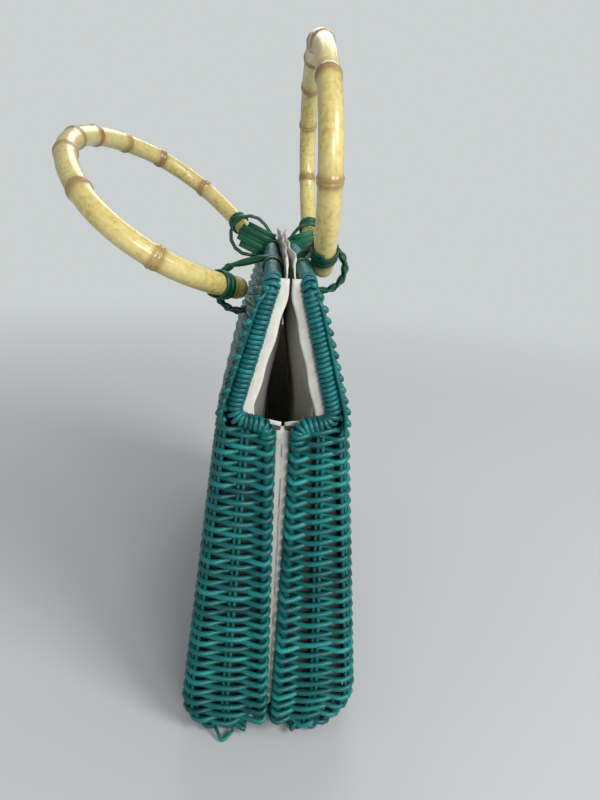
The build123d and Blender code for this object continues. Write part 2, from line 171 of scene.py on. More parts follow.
def seam_gap(z):
    return lerp(SEAM_GAP_BOTTOM, SEAM_GAP_TOP, clamp(z / SHOULDER_HEIGHT))


def rod_depth(z):
    """Distance of the seam rod from the seam plane at a height."""
    share = (z - HINGE_HEIGHT) / (SEAM_TOP - HINGE_HEIGHT)
    return lerp(HINGE_DEPTH, seam_gap(SEAM_TOP) + SEAM_SETBACK, clamp(share))


# Meshes


class Strands:
    """Collects swept strands into one mesh with a tone and a place along and around each."""

    def __init__(self):
        self.verts, self.faces = [], []
        self.marks = {"tone": [], "along": [], "around": []}
        self.count = 0

    def add(self, path, up, half_width, half_thick, tone, sides=7, square=1.0, closed=False):
        """Sweeps an oval, or with square below 1 a flat strip, whose thin side faces up."""
        path = np.asarray(path, float)
        up = np.broadcast_to(np.asarray(up, float), path.shape)
        if closed:
            way = np.roll(path, -1, 0) - np.roll(path, 1, 0)
        else:
            way = np.gradient(path, axis=0)
        way /= np.linalg.norm(way, axis=1)[:, None] + 1e-12
        across = np.cross(way, up)
        across /= np.linalg.norm(across, axis=1)[:, None] + 1e-12
        lift = np.cross(across, way)
        turns = np.linspace(0, 2 * math.pi, sides, endpoint=False) + math.pi / sides
        c, s = np.cos(turns), np.sin(turns)
        c = np.sign(c) * np.abs(c) ** square
        s = np.sign(s) * np.abs(s) ** square
        width = np.broadcast_to(np.asarray(half_width, float), (len(path),))
        thick = np.broadcast_to(np.asarray(half_thick, float), (len(path),))
        ring = (
            path[:, None, :]
            + across[:, None, :] * (width[:, None] * c[None, :])[:, :, None]
            + lift[:, None, :] * (thick[:, None] * s[None, :])[:, :, None]
        )
        n = len(path)
        self.verts.append(ring.reshape(-1, 3))
        run = np.concatenate([[0.0], np.cumsum(np.linalg.norm(np.diff(path, axis=0), axis=1))])
        self.marks["tone"].append(np.repeat(np.broadcast_to(tone, (n,)), sides))
        self.marks["along"].append(np.repeat(run, sides))
        self.marks["around"].append(np.tile(np.arange(sides) / sides, n))
        base = self.count
        last = n if closed else n - 1
        for k in range(last):
            a, b = base + k * sides, base + ((k + 1) % n) * sides
            for m in range(sides):
                e = (m + 1) % sides
                self.faces.append((a + m, a + e, b + e, b + m))
        if not closed:
            self.faces.append(tuple(base + m for m in reversed(range(sides))))
            self.faces.append(tuple(base + (n - 1) * sides + m for m in range(sides)))
        self.count += n * sides

    def piece(self, name, material, body, replaced=()):
        marks = {label: np.concatenate(values) for label, values in self.marks.items()}
        mesh = new_mesh(name, np.concatenate(self.verts), self.faces, marks)
        return place(mesh, name, material, body, replaced)


def new_mesh(name, points, faces, marks=None):
    """A smooth mesh of points in millimetres, with a number at each point for every mark."""
    mesh = bpy.data.meshes.new(name)
    mesh.from_pydata((points * MM).tolist(), [], faces)
    for label, values in (marks or {}).items():
        layer = mesh.attributes.new(label, "FLOAT", "POINT")
        layer.data.foreach_set("value", np.asarray(values, np.float32))
    mesh.polygons.foreach_set("use_smooth", [True] * len(mesh.polygons))
    return mesh


def add_object(name, data):
    obj = bpy.data.objects.new(name, data)
    bpy.context.scene.collection.objects.link(obj)
    return obj


def place(mesh, name, material, body, replaced=()):
    obj = add_object(name, mesh)
    mesh.materials.append(material)
    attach(obj, body)
    if replaced:
        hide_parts(*replaced)
    return obj


def on_side(points, side):
    """Points or directions of the +Y side, on a half's own side."""
    return np.array(points) * np.array([1.0, side, 1.0])


def resample(path, spacing):
    path = np.asarray(path, float)
    run = np.concatenate([[0.0], np.cumsum(np.linalg.norm(np.diff(path, axis=0), axis=1))])
    count = max(2, int(round(run[-1] / spacing)) + 1)
    marks = np.linspace(0, run[-1], count)
    return np.stack([np.interp(marks, run, path[:, k]) for k in range(3)], axis=1)


def filleted(points, radius, facets=7):
    """A polyline with its corners rounded to a radius."""
    points = [np.array(p, float) for p in points]
    path = [points[0]]
    for before, corner, after in zip(points, points[1:], points[2:]):
        a = (before - corner) / np.linalg.norm(before - corner)
        b = (after - corner) / np.linalg.norm(after - corner)
        angle = math.acos(float(np.clip(a @ b, -1, 1)))
        reach = radius / math.tan(angle / 2)
        centre = corner + (a + b) / np.linalg.norm(a + b) * radius / math.sin(angle / 2)
        start, end = corner + a * reach - centre, corner + b * reach - centre
        sweep = math.pi - angle
        for k in range(facets + 1):
            t = k / facets
            spoke = start * math.sin((1 - t) * sweep) + end * math.sin(t * sweep)
            path.append(centre + spoke / math.sin(sweep))
    path.append(points[-1])
    return np.array(path)


def frames(path):
    """Two cross directions at each point that turn as little as they can along the path."""
    way = np.gradient(path, axis=0)
    way /= np.linalg.norm(way, axis=1)[:, None]
    start = np.array([0.0, 0.0, 1.0]) if abs(way[0][2]) < 0.8 else np.array([0.0, 1.0, 0.0])
    first = np.zeros_like(path)
    first[0] = np.cross(way[0], start)
    first[0] /= np.linalg.norm(first[0])
    for k in range(1, len(path)):
        v = first[k - 1] - way[k] * (first[k - 1] @ way[k])
        first[k] = v / np.linalg.norm(v)
    return first, np.cross(way, first)


def wound(strands, path, radius, pitch, half_width, half_thick, tone, jitter, per_turn=13):
    """Winds one strip round a path from end to end."""
    fine = resample(path, pitch / per_turn)
    first, second = frames(fine)
    run = np.arange(len(fine)) / per_turn
    wobble = np.array([random.uniform(-jitter, jitter) for _ in range(int(run[-1]) + 2)])
    turn = 2 * math.pi * run
    out = first * np.cos(turn)[:, None] + second * np.sin(turn)[:, None]
    reach = radius + np.interp(run, np.arange(len(wobble)), wobble)
    tones = tone + 0.25 * np.interp(run, np.arange(len(wobble)), wobble / jitter)
    path = fine + out * reach[:, None]
    strands.add(path, out, half_width, half_thick, tones, sides=6, square=0.75)


# Weave


def plan(u, x_mid, y_mid, y_start, radius):
    """Place and outward direction on a row's plan at a station number."""
    straight = y_mid - radius - y_start
    bend = math.pi / 2 * radius
    end_run = straight + bend / 2
    face_run = bend + 2 * (x_mid - radius)
    mirrored = u > STATIONS / 2
    if mirrored:
        u = STATIONS - u
    if u <= END_STATIONS:
        run = u / END_STATIONS * end_run
    else:
        run = end_run + (u - END_STATIONS) / FACE_STATIONS * face_run
    if run <= straight:
        x, y, nx, ny = x_mid, y_start + run, 1.0, 0.0
    elif run <= straight + bend:
        t = (run - straight) / radius
        x, y = x_mid - radius + radius * math.cos(t), y_mid - radius + radius * math.sin(t)
        nx, ny = math.cos(t), math.sin(t)
    else:
        x, y, nx, ny = x_mid - radius - (run - straight - bend), y_mid, 0.0, 1.0
    return (-x, y, -nx, ny) if mirrored else (x, y, nx, ny)


def foot_rows(radius):
    """Height, inset and tilt of each row on the end walls and on the face, through the foot."""
    end_bend = (END_FOOT_RADIUS - WALL / 2) * math.pi / 2
    face_run = (radius - WALL / 2) * math.pi / 2
    end_run = end_bend + radius - END_FOOT_RADIUS
    count = round((face_run + end_run) / 2 / ROW_PITCH)
    rows = []
    for j in range(count):
        t_face = math.pi / 2 * j / count
        r = radius - WALL / 2
        face = (radius - r * math.cos(t_face), radius - r * math.sin(t_face), t_face)
        run = end_run * j / count
        if run < end_bend:
            r = END_FOOT_RADIUS - WALL / 2
            t = run / r
            end = (END_FOOT_RADIUS - r * math.cos(t), END_FOOT_RADIUS - r * math.sin(t), t)
        else:
            end = (END_FOOT_RADIUS + run - end_bend, WALL / 2, math.pi / 2)
        rows.append((end, face))
    return rows


def tray_rows(radius):
    rows = foot_rows(radius)
    count = int((SEAM_TOP - 1.0 - radius) / ROW_PITCH)
    for j in range(count + 1):
        z = lerp(radius, SEAM_TOP - 1.0, j / count)
        rows.append(((z, WALL / 2, math.pi / 2), (z, WALL / 2, math.pi / 2)))
    return rows


def row_start(z):
    """Where a row starts: at the seam rod, or clear of the hinge on the lowest rows."""
    return rod_depth(z) if z > HINGE_HEIGHT + EDGE_SWAY else HINGE_RELIEF + EDGE_SWAY


def weave_wave(u):
    """How far over the stakes, or under them below 0, a reed passes at a station number."""
    wave = math.cos(math.pi * u)
    return math.copysign(abs(wave) ** WAVE_POWER, wave)


def row_point(row, u, wave_sign):
    """Centre of a reed at a station number, and the direction out of the wall there."""
    (z_end, off_end, t_end), (z_face, off_face, t_face) = row
    along = min(u, STATIONS - u)
    share = smooth(1.4, 2.6, along)
    z = lerp(z_end, z_face, share)
    tilt = lerp(t_end, t_face, share)
    x_mid = half_length(z_end) - off_end
    y_mid = depth(z_face) - off_face
    x, y, nx, ny = plan(u, x_mid, y_mid, row_start(z_end), CORNER_RADIUS - WALL / 2)
    normal = np.array([nx * math.sin(tilt), ny * math.sin(tilt), -math.cos(tilt)])
    reach = lerp(EDGE_SWAY, SWAY, smooth(0.0, 0.7, along)) * weave_wave(u) * wave_sign
    return np.array([x, y, z]) + normal * reach, normal


def add_loop(points, ups, at_start, centre, way, normal, rise, reach):
    """Joins half a turn round an edge rod, from the outside to the inside, to one end of a row."""
    loop, loop_ups = [], []
    for k in range(1, LOOP_STEPS):
        t = math.pi * k / LOOP_STEPS
        out = normal * math.cos(t) + way * math.sin(t)
        loop.append(centre + out * reach + np.array([0, 0, rise * k / LOOP_STEPS]))
        loop_ups.append(out)
    if at_start:
        return loop[::-1] + points, loop_ups[::-1] + ups
    return points + loop, ups + loop_ups


def reed_path(points, side):
    """A reed's points on its half's side, which wander a little up and down."""
    path = on_side(points, side)
    places = np.arange(0, len(path) + WANDER_STEP, WANDER_STEP)
    shifts = [random.uniform(-WANDER, WANDER) for _ in places]
    path[:, 2] += np.interp(np.arange(len(path)), places, shifts)
    return path


def weave_row(strands, row, next_row, index, half, tone):
    side = SIDE[half]
    sign = 1.0 if index % 2 == 0 else -1.0
    points, ups = [], []
    for k in range(STATIONS * STATION_STEPS + 1):
        u = k / STATION_STEPS
        point, normal = row_point(row, u, sign)
        slant = ROW_SLANT[half] * math.sin(math.pi * u) * sign * (1 if u < STATIONS / 2 else -1)
        point[2] += slant * (1 - smooth(2.0, 4.0, min(u, STATIONS - u)))
        points.append(point)
        ups.append(normal)
    if sign > 0 and next_row is not None and row[0][0] > HINGE_HEIGHT + EDGE_SWAY:
        rise = next_row[0][0] - row[0][0]
        way = np.array([0, -1.0, 0])
        for u in (0, STATIONS):
            over, normal = row_point(row, u, 1.0)
            centre = over - normal * EDGE_SWAY
            points, ups = add_loop(points, ups, u == 0, centre, way, normal, rise, EDGE_SWAY)
    strands.add(reed_path(points, side), on_side(ups, side), REED_RADIUS, REED_RADIUS, tone)


def panel_stations(z):
    """Along-the-bag places of the stakes in the upper panel."""
    x_end = half_length(z) - REED_RADIUS - SWAY
    step = 2 * x_end / FACE_STATIONS
    return [x_end - k * step for k in range(FACE_STATIONS + 1)]


def panel_mid(z):
    return depth(min(z, RIM_ROD_HEIGHT)) - WALL / 2


def panel_normal(z):
    slope = (depth(z - 1.0) - depth(z + 1.0)) / 2.0
    normal = np.array([0.0, 1.0, slope])
    return normal / np.linalg.norm(normal)


def panel_rows(strands, side, index):
    z = PANEL_START
    while z < PANEL_END:
        sign = 1.0 if index % 2 == 0 else -1.0
        normal = panel_normal(z)
        xs = panel_stations(z)
        points, ups = [], []
        for k in range(FACE_STATIONS * STATION_STEPS + 1):
            u = k / STATION_STEPS
            point = np.array([np.interp(u, range(len(xs)), xs), panel_mid(z), z])
            points.append(point + normal * (weave_wave(u) * sign) * SWAY)
            ups.append(normal)
        if sign > 0:
            for at_start in (True, False):
                way = np.array([1.0 if at_start else -1.0, 0, 0])
                tuck = SWAY * random.uniform(0.5, 1.0)
                centre = points[0 if at_start else -1] - normal * tuck
                points, ups = add_loop(points, ups, at_start, centre, way, normal, ROW_PITCH, tuck)
        strands.add(reed_path(points, side), on_side(ups, side), REED_RADIUS, REED_RADIUS, row_tone())
        z += ROW_PITCH * normal[1]
        index += 1


def row_tone():
    return random.gauss(0.5, 0.17)


def base_rows(strands, half):
    """Straight reeds under the base, between the foot and the hinge rod."""
    side, radius = SIDE[half], FOOT_RADIUS[half]
    y = BOTTOM_DEPTH - radius - ROW_PITCH
    x_end = BOTTOM_HALF_LENGTH - END_FOOT_RADIUS
    step = 2 * x_end / FACE_STATIONS
    sign = -1
    while y > HINGE_EDGE + 2 * REED_RADIUS:
        xs = np.linspace(-x_end, x_end, FACE_STATIONS * STATION_STEPS + 1)
        wave = np.cos(np.pi * (xs + x_end) / step) * sign
        path = np.stack([xs, np.full_like(xs, side * y), WALL / 2 - wave * SWAY], axis=1)
        strands.add(path, (0, 0, -1.0), REED_RADIUS, REED_RADIUS, row_tone())
        y -= ROW_PITCH
        sign = -sign


def stakes(strands, half):
    """Pairs of thin rods that the reeds pass over and under."""
    side = SIDE[half]
    rows = tray_rows(FOOT_RADIUS[half])
    for station in range(1, STATIONS):
        for shift in (-STAKE_SPREAD, STAKE_SPREAD):
            points, ups = [], []
            if END_STATIONS < station < STATIONS - END_STATIONS:
                start, _ = row_point(rows[0], station, 0.0)
                for y in np.linspace(HINGE_EDGE + 1.0, start[1] - 1.0, 6):
                    points.append((start[0] + shift, y, WALL / 2))
                    ups.append((0, 0, -1.0))
            for row in rows[::2]:
                point, normal = row_point(row, station, 0.0)
                across = np.array([-normal[1], normal[0], 0.0])
                length = np.linalg.norm(across)
                across = across / length if length > 0.2 else np.array([0.0, 1.0, 0.0])
                points.append(point + across * shift)
                ups.append(normal)
            if END_STATIONS <= station <= STATIONS - END_STATIONS:
                for z in np.arange(PANEL_START, RIM_ROD_HEIGHT, PANEL_STAKE_PITCH):
                    x = panel_stations(z)[station - END_STATIONS]
                    points.append((x + shift, panel_mid(z), z))
                    ups.append(panel_normal(z))
            strands.add(
                on_side(points, side), on_side(ups, side), STAKE_RADIUS, STAKE_RADIUS,
                random.gauss(0.3, 0.1), sides=6,
            )


def weave(half, material):
    side, radius = SIDE[half], FOOT_RADIUS[half]
    strands = Strands()
    rows = tray_rows(radius)
    for index, row in enumerate(rows):
        next_row = rows[index + 1] if index + 1 < len(rows) else None
        weave_row(strands, row, next_row, index, half, row_tone())
    panel_rows(strands, side, len(rows))
    base_rows(strands, half)
    stakes(strands, half)
    if half == "front":
        # One loose strand at the foot
        end = BOTTOM_HALF_LENGTH
        loose = filleted([(end - 4, -25.5, 4.0), (end + 2.6, -21.5, 1.3), (end - 3, -16.5, 2.6)], 1.2)
        strands.add(loose, (0.3, 0, 1.0), LOOSE_RADIUS, LOOSE_RADIUS, 0.8, sides=6)
    strands.piece(f"{half}_reeds", material, f"{half}_half", (f"{half}_weave",))


# Frame rod and binding


def frame_points():
    return (
        (0.0, HINGE_DEPTH, HINGE_HEIGHT),
        (half_length(HINGE_HEIGHT) - BINDING_RADIUS, HINGE_DEPTH, HINGE_HEIGHT),
        (half_length(SEAM_TOP) - BINDING_RADIUS, seam_gap(SEAM_TOP) + SEAM_SETBACK, SEAM_TOP),
        (
            half_length(SHOULDER_TOP) - BINDING_RADIUS,
            SHOULDER_DEPTH - BINDING_SETBACK - BINDING_RADIUS,
            SHOULDER_TOP,
        ),
        (RIM_HALF_LENGTH - BINDING_RADIUS, RIM_BINDING_DEPTH, RIM_ROD_HEIGHT),
        (0.0, RIM_BINDING_DEPTH, RIM_ROD_HEIGHT),
    )


def mirrored_path(path, side):
    """The +X half of a path joined to its mirror image, from +X's start round to -X's."""
    other = path[::-1][1:] * np.array([-1.0, 1.0, 1.0])
    return on_side(np.vstack([path, other]), side)


def binding(half, material):
    side = SIDE[half]
    points = frame_points()
    rod = filleted(points, ELBOW_RADIUS)
    seam_end = lerp(np.array(points[2]), np.array(points[1]), 0.05)
    rim = mirrored_path(filleted((seam_end,) + points[2:], ELBOW_RADIUS), side)
    strands = Strands()
    wound(strands, rim, BINDING_RADIUS - 0.55, 2.15, 1.0, 0.6, 0.55, 0.2)
    strands.add(resample(rim, 4.0), (0.3, 0.2, 1.0), 2.7, 2.7, 0.25, sides=10)
    for way in (1.0, -1.0):
        seam = on_side(rod[:12], side) * np.array([way, 1, 1])
        strands.add(resample(seam, 3.0), (0.3, 0.9, 0.2), 2.0, 2.0, 0.3, sides=9)
    edge = LASHING_WIDTH / 2 + 0.7
    bead_end = points[1][0] - ELBOW_RADIUS
    gaps = [v + s * edge for v in sorted(LASHINGS.values()) for s in (-1, 1)]
    ends = [-bead_end, *gaps, bead_end]
    for low, high in zip(ends[::2], ends[1::2]):
        run = on_side([(x, HINGE_DEPTH, HINGE_HEIGHT) for x in (low, high)], side)
        wound(strands, run, BEAD_RADIUS - 0.5, 2.5, 1.1, 0.5, 0.5, 0.08)
    strands.piece(
        f"{half}_wound_binding", material, f"{half}_half",
        (f"{half}_binding", f"{half}_frame_rod"),
    )


# Bamboo


def leg_ends(half):
    ends = {}
    for name, (x, rise, gap) in LEGS[half].items():
        z = RIM_ROD_HEIGHT + rise
        y = depth(min(z, RIM_ROD_HEIGHT)) + gap + BAMBOO_RADIUS
        ends[name] = np.array([x, SIDE[half] * y, z])
    return ends


class Bow:
    """Centre line of a bamboo handle, placed by its two leg ends and its tilt."""

    def __init__(self, half):
        ends = leg_ends(half)
        near, far = ends["near"], ends["far"]
        self.across = (near - far) / np.linalg.norm(near - far)
        lean = math.radians(TILT[half])
        rise = np.array([0.0, -math.sin(lean), math.cos(lean)])
        rise = rise - self.across * (rise @ self.across)
        self.rise = rise / np.linalg.norm(rise)
        self.middle = (near + far) / 2
        self.half = sum(radius * math.radians(sweep) for radius, sweep in BOW_ARCS)
        self.drop = self.flat(self.half)[1]
        self.spread = np.linalg.norm(near - far) / 2 - self.flat(self.half)[0]

    def flat(self, run):
        x = y = heading = 0.0
        for radius, sweep in BOW_ARCS:
            turn = min(run / radius, math.radians(sweep))
            x += radius * (math.sin(heading + turn) - math.sin(heading))
            y -= radius * (math.cos(heading) - math.cos(heading + turn))
            heading += turn
            run -= radius * turn
        return x, y, heading

    def at(self, share):
        run = (1 - 2 * share) * self.half
        x, y, heading = self.flat(abs(run))
        side = 1 if run >= 0 else -1
        lean_in = self.spread * abs(run) / self.half
        point = self.middle + self.across * side * (x + lean_in) + self.rise * (y - self.drop)
        way = self.across * -math.cos(heading) + self.rise * math.sin(heading) * side
        return point, way

    def radius(self, share):
        return BAMBOO_RADIUS * lerp(1.0, BAMBOO_TAPER, share)


def bell(value, width):
    return math.exp(-((value / width) ** 2))


def cane(half, material):
    bow = Bow(half)
    flat_side = np.cross(bow.across, bow.rise)
    length = 2 * bow.half
    verts, marks = [], {"node": [], "along": [], "around": []}

    def ring(point, way, radius, dark, run):
        up = np.cross(way, flat_side)
        for k in range(CANE_SIDES):
            t = 2 * math.pi * k / CANE_SIDES
            verts.append(point + (flat_side * math.cos(t) + up * math.sin(t)) * radius)
            marks["node"].append(dark)
            marks["along"].append(run)
            marks["around"].append(k / CANE_SIDES)

    shares = set(np.linspace(0, 1, CANE_STATIONS))
    shares |= {spot + d / length for spot in NODE_PLACES for d in NODE_OFFSETS}
    for _ in NODE_PLACES:
        random.random()  # Left unused, so that the later draws stay as they are
    end, way = bow.at(0.0)
    # The rings inside the hollow end carry painted shade through the node mark
    for inside, share, dark in MOUTH:
        ring(end + way * inside, way, bow.radius(0.0) * share, dark, 0.0)
    for share in sorted(shares):
        point, way = bow.at(share)
        offset = (share - min(NODE_PLACES, key=lambda v: abs(share - v))) * length
        gap = abs(offset)
        ridge = 0.72 * bell(gap, 1.7) + 0.25 * bell(offset - 1.6, 0.8)
        groove = 0.42 * bell(gap, 0.45)
        ease = 0.35 if 0.004 > share or share > 0.996 else 0.0
        dark = min(0.95 * bell(gap, 2.6) + 0.4 * bell(gap, 8.0), 1.0)
        ring(point, way, bow.radius(share) + ridge - groove - ease, dark, share * length)
    end, way = bow.at(1.0)
    # Painted shade inside the other hollow end, through the node mark
    for inside, share, dark in MOUTH[::-1]:
        ring(end - way * inside, way, bow.radius(1.0) * share, dark, length)
    faces = []
    last = len(verts) - CANE_SIDES
    for a in range(0, last, CANE_SIDES):
        b = a + CANE_SIDES
        for m in range(CANE_SIDES):
            e = (m + 1) % CANE_SIDES
            faces.append((a + m, b + m, b + e, a + e))
    faces.append(tuple(range(CANE_SIDES)))
    faces.append(tuple(last + m for m in reversed(range(CANE_SIDES))))
    mesh = new_mesh(f"{half}_cane", np.array(verts), faces, marks)
    place(mesh, f"{half}_cane", material, f"{half}_bow", (f"{half}_handle",))


# Straps


def hull_path(a, radius_a, b, radius_b, steps=9):
    """A band drawn tight round two circles in the plane across the bag."""
    a, b = np.array(a, float), np.array(b, float)
    gap = np.linalg.norm(b - a)
    heading = math.atan2(b[1] - a[1], b[0] - a[0])
    spread = math.acos((radius_a - radius_b) / gap)
    points, ups = [], []
    for centre, radius, low, high in (
        (b, radius_b, heading - spread, heading + spread),
        (a, radius_a, heading + spread, heading - spread + 2 * math.pi),
    ):
        for k in range(steps + 1):
            t = lerp(low, high, k / steps)
            out = np.array([math.cos(t), math.sin(t)])
            points.append(centre + out * radius)
            ups.append(out)
    return np.array(points), np.array(ups)


def strap_loop(strands, x, a, radius_a, b, radius_b, half_width, tone):
    flat, ups = hull_path(a, radius_a, b, radius_b)
    path = np.column_stack([np.full(len(flat), x), flat])
    up = np.column_stack([np.zeros(len(ups)), ups])
    strands.add(path, up, half_width, STRAP / 2, tone, closed=True, **STRAP_SHAPE)


def twisted_loop(strands, x, a, radius_a, b, radius_b, half_width, tone, twist):
    """A strap drawn round rim and leg, whose straight runs turn part of their flat side along X."""
    flat, ups = hull_path(a, radius_a, b, radius_b)
    path, out = [], []
    count = len(flat)
    for k in range(count):
        m = (k + 1) % count
        steps = 7 if np.linalg.norm(flat[m] - flat[k]) > 4.0 else 1
        for j in range(steps):
            t = j / steps
            spot, normal = lerp(flat[k], flat[m], t), lerp(ups[k], ups[m], t)
            lean = twist * math.sin(math.pi * t)
            path.append((x + 1.2 * math.sin(lean), *spot))
            out.append((math.sin(lean), *(normal * math.cos(lean))))
    strands.add(path, out, half_width, STRAP / 2, tone, closed=True, **STRAP_SHAPE)


def tip_cover(strands, rim, end, rim_reach):
    """Bands side by side that run from the rim across the far leg's open end."""
    a, b = np.array(rim, float), np.array(end[1:], float)
    gap = np.linalg.norm(b - a)
    way = (b - a) / gap
    rise = np.array([-way[1], way[0]])
    for k, q in enumerate(np.linspace(-COVER_REACH, COVER_REACH, COVER_BANDS) * 0.86):
        low = -math.sqrt(max(rim_reach ** 2 - q * q, 0.0)) + 0.6
        high = gap + math.sqrt(COVER_REACH ** 2 - q * q)
        slant = random.uniform(-0.7, 0.7)
        level = 5.0 + 0.55 * (k % 2)
        profile = (
            (low, 0.6), (low + 0.3, level * 0.7), (low + 1.6, level),
            (lerp(low, high, 0.4), level + 0.9), (lerp(low, high, 0.7), level + 0.8),
            (high - 1.6, level), (high - 0.3, level * 0.9),
        )
        path, out = [], []
        for n, (s, lift) in enumerate(profile):
            t = n / (len(profile) - 1)
            spot = a + way * s + rise * (q + slant * (t - 0.5))
            path.append((end[0] + lift, *spot))
            edge = (-1.0 if t < 0.5 else 1.0) * abs(2 * t - 1) ** 3
            out.append((1 - abs(edge) * 0.7, *(way * edge)))
        strands.add(path, out, 1.95, STRAP / 2, 0.35 + 0.1 * k, **STRAP_SHAPE)


def ties(half, material):
    bow = Bow(half)
    rim = (SIDE[half] * RIM_BINDING_DEPTH, RIM_ROD_HEIGHT)
    rim_reach = BINDING_RADIUS + STRAP / 2
    turns = np.linspace(0, 2 * math.pi, 18, endpoint=False)
    ring = np.column_stack([
        0.6 * np.sin(turns), (rim_reach + 0.15) * np.cos(turns), (rim_reach + 0.15) * np.sin(turns),
    ])
    for name, share in (("near", 0.0), ("far", 1.0)):
        near = name == "near"
        end = leg_ends(half)[name]
        loops = Strands()
        for x, lift, width, tone, twist in LOOP_STRIPS:
            twisted_loop(
                loops, end[0] + x, rim, rim_reach + lift / 2, end[1:], LOOP_REACH[name] + lift,
                width, tone, twist if near else 0.0,
            )
        if not near:
            tip_cover(loops, rim, end, rim_reach)
        for k, x in enumerate((-5.6, 5.4) if near else (5.4,)):
            circle = np.array([end[0] + x, *rim]) + ring
            loops.add(circle, ring, 1.8, STRAP / 2, 0.5 + 0.1 * k, closed=True, **STRAP_SHAPE)
        loops.piece(
            f"{half}_{name}_strap_loops", material, f"{half}_half",
            (f"{half}_{name}_tie_loop",),
        )
        wraps = Strands()
        places = [abs(share - d / (2 * bow.half)) for d in np.linspace(*BAND_RUN, 12)]
        centre = np.array([bow.at(spot)[0] for spot in places])
        radius = bow.radius(share) + STRAP / 2 + 0.3
        wound(wraps, centre, radius, 2.9, 1.7, STRAP / 2, 0.4, 0.12, per_turn=16)
        wraps.piece(
            f"{half}_{name}_strap_wraps", material, f"{half}_bow",
            (f"{half}_{name}_tie_band",),
        )


def lashings(material):
    for name, x in LASHINGS.items():
        strands = Strands()
        reach = LASHING_REACH - STRAP / 2
        for k in (-1, 0, 1):
            strap_loop(
                strands, x + 3.0 * k, (-HINGE_DEPTH, HINGE_HEIGHT), reach,
                (HINGE_DEPTH, HINGE_HEIGHT), reach - 0.01, 1.45, 0.5 + 0.12 * k,
            )
        strands.piece(
            f"{name}_hinge_straps", material, "front_half", (f"{name}_hinge_lashing",),
        )


# Lining


def lining_turn(z):
    return clamp((z - LINING_TURN_START) / LINING_TURN_RUN)


def lining_depth(z):
    wall_face = depth(min(z, SHOULDER_HEIGHT)) - LINING_GAP
    shoulder_face = SHOULDER_DEPTH - BINDING_SETBACK - 2 * BINDING_RADIUS - 0.4
    rim_face = RIM_BINDING_DEPTH - BINDING_RADIUS - STRAP - 0.4
    climb = clamp((z - SHOULDER_TOP) / (RIM_ROD_HEIGHT - SHOULDER_TOP))
    return lerp(wall_face, lerp(shoulder_face, rim_face, climb), lining_turn(z))


def lining_half_length(z):
    wall_face = half_length(z) - LINING_GAP
    return lerp(wall_face, half_length(z) - 2 * BINDING_RADIUS - 0.4, lining_turn(z))


def lining_rows(radius):
    """Height and inset of the cloth's rows from the floor up to the shoulder."""
    inner = radius - LINING_GAP
    rows = []
    for t in np.linspace(0, math.pi / 2, 7):
        rows.append((LINING_GAP + inner * (1 - math.cos(t)), inner * (1 - math.sin(t))))
    return rows + [(z, 0.0) for z in np.linspace(radius, LINING_SPLIT, 30)[1:]]


